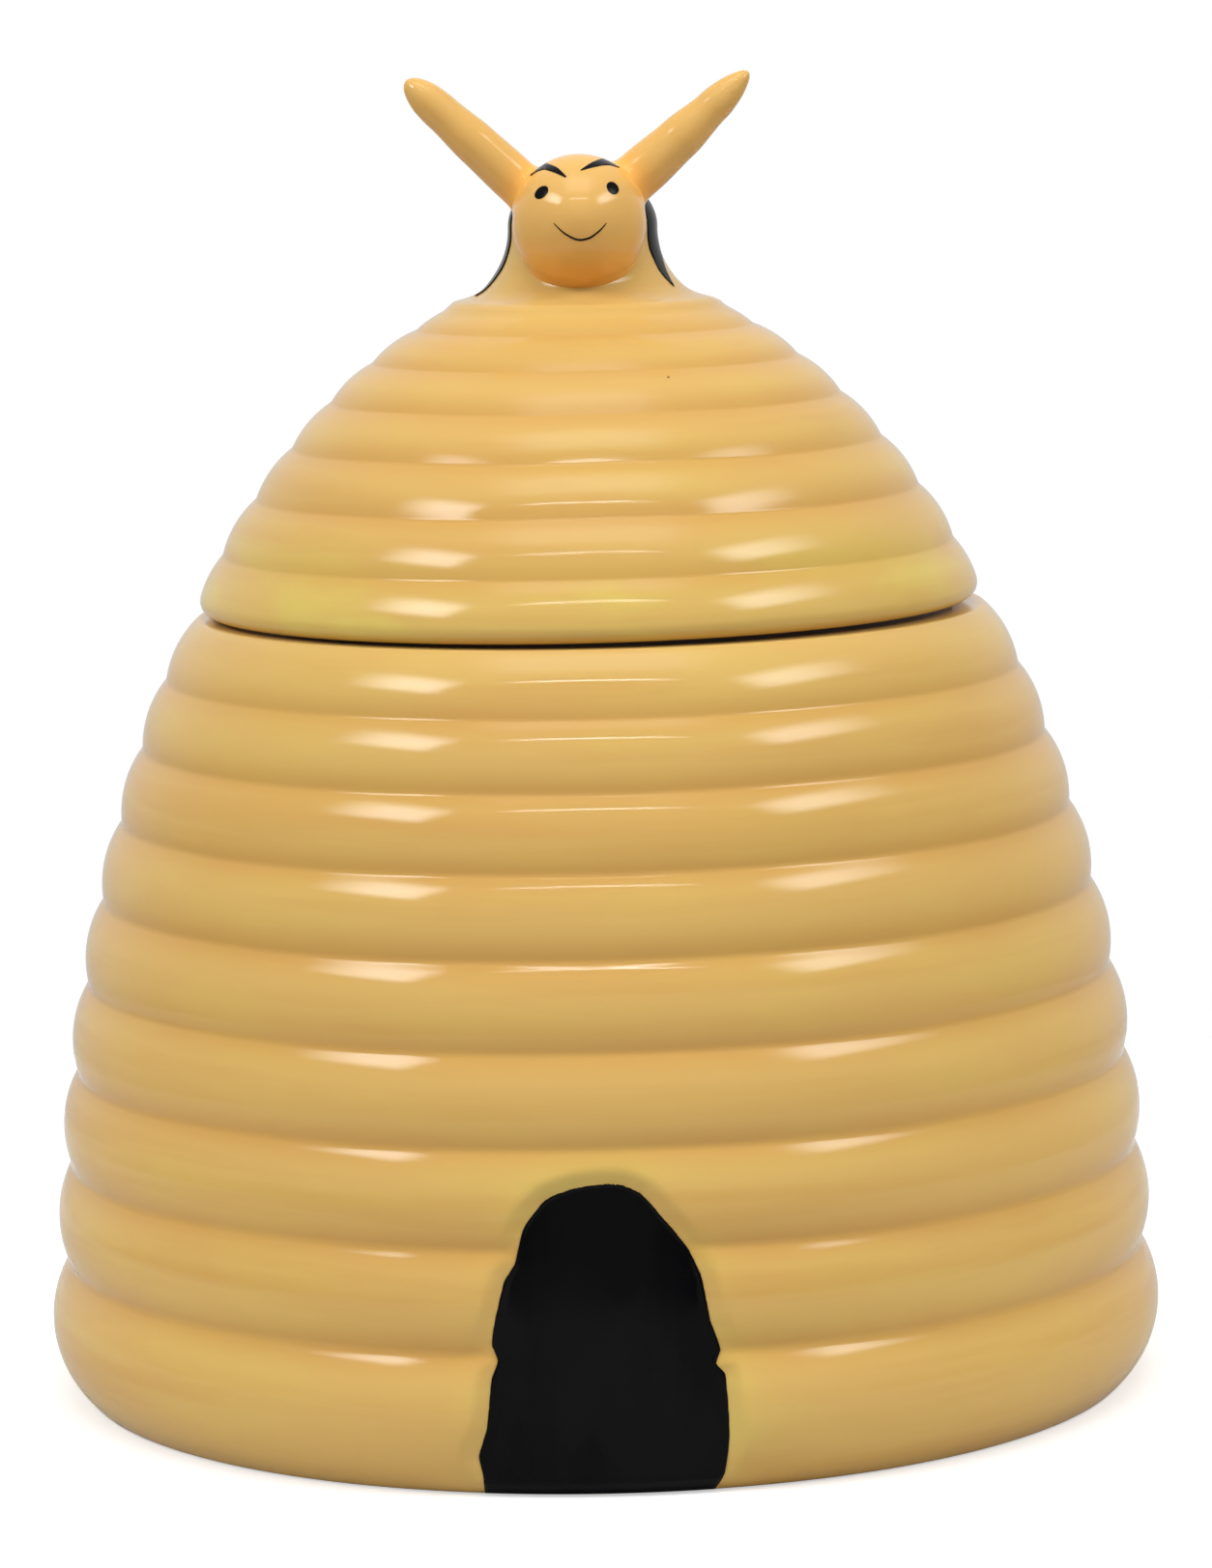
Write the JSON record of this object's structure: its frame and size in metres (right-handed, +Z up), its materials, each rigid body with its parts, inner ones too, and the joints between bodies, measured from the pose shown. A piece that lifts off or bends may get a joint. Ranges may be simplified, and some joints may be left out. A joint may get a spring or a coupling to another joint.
{
  "type": "cookie jar",
  "caption": "Ribbed ceramic beehive jar with a black arched door and a lift-off dome lid that has a bee with antennae as its knob.",
  "frame": {"origin": "on the hive's axis, in the plane of the foot ring", "axes": "+Z up the hive's axis; the door and the bee's face look along -Y; +X to the viewer's right"},
  "size_m": [0.188, 0.1863, 0.2203],
  "materials": {
    "hive_glaze": "warm yellow glaze with clear gloss",
    "bee_glaze": "warm yellow glaze with clear gloss",
    "black_enamel": "brushed-on black under clear gloss",
    "silicone": "matt dark silicone"
  },
  "bodies": {
    "pot": {"hive_pot": "hive_glaze", "door_enamel": "black_enamel"},
    "seal": {"lid_seal": "silicone"},
    "lid": {"hive_lid": "hive_glaze", "bee_body": "bee_glaze", "bee_stripe_enamel": "black_enamel", "bee_head": "bee_glaze", "bee_face_enamel": "black_enamel", "bee_antenna_left": "bee_glaze", "bee_antenna_right": "bee_glaze", "bee_wing_left": "bee_glaze", "bee_wing_right": "bee_glaze"}
  },
  "joints": [
    {"name": "lid_lift", "type": "slide", "parent": "pot", "child": "seal", "axis": [0, 0, 1], "range_m": [0, 0.16]},
    {"name": "lid_turn", "type": "hinge", "parent": "seal", "child": "lid", "pos_m": [0, 0, 0.1317], "axis": [0, 0, 1], "continuous": true}
  ]
}
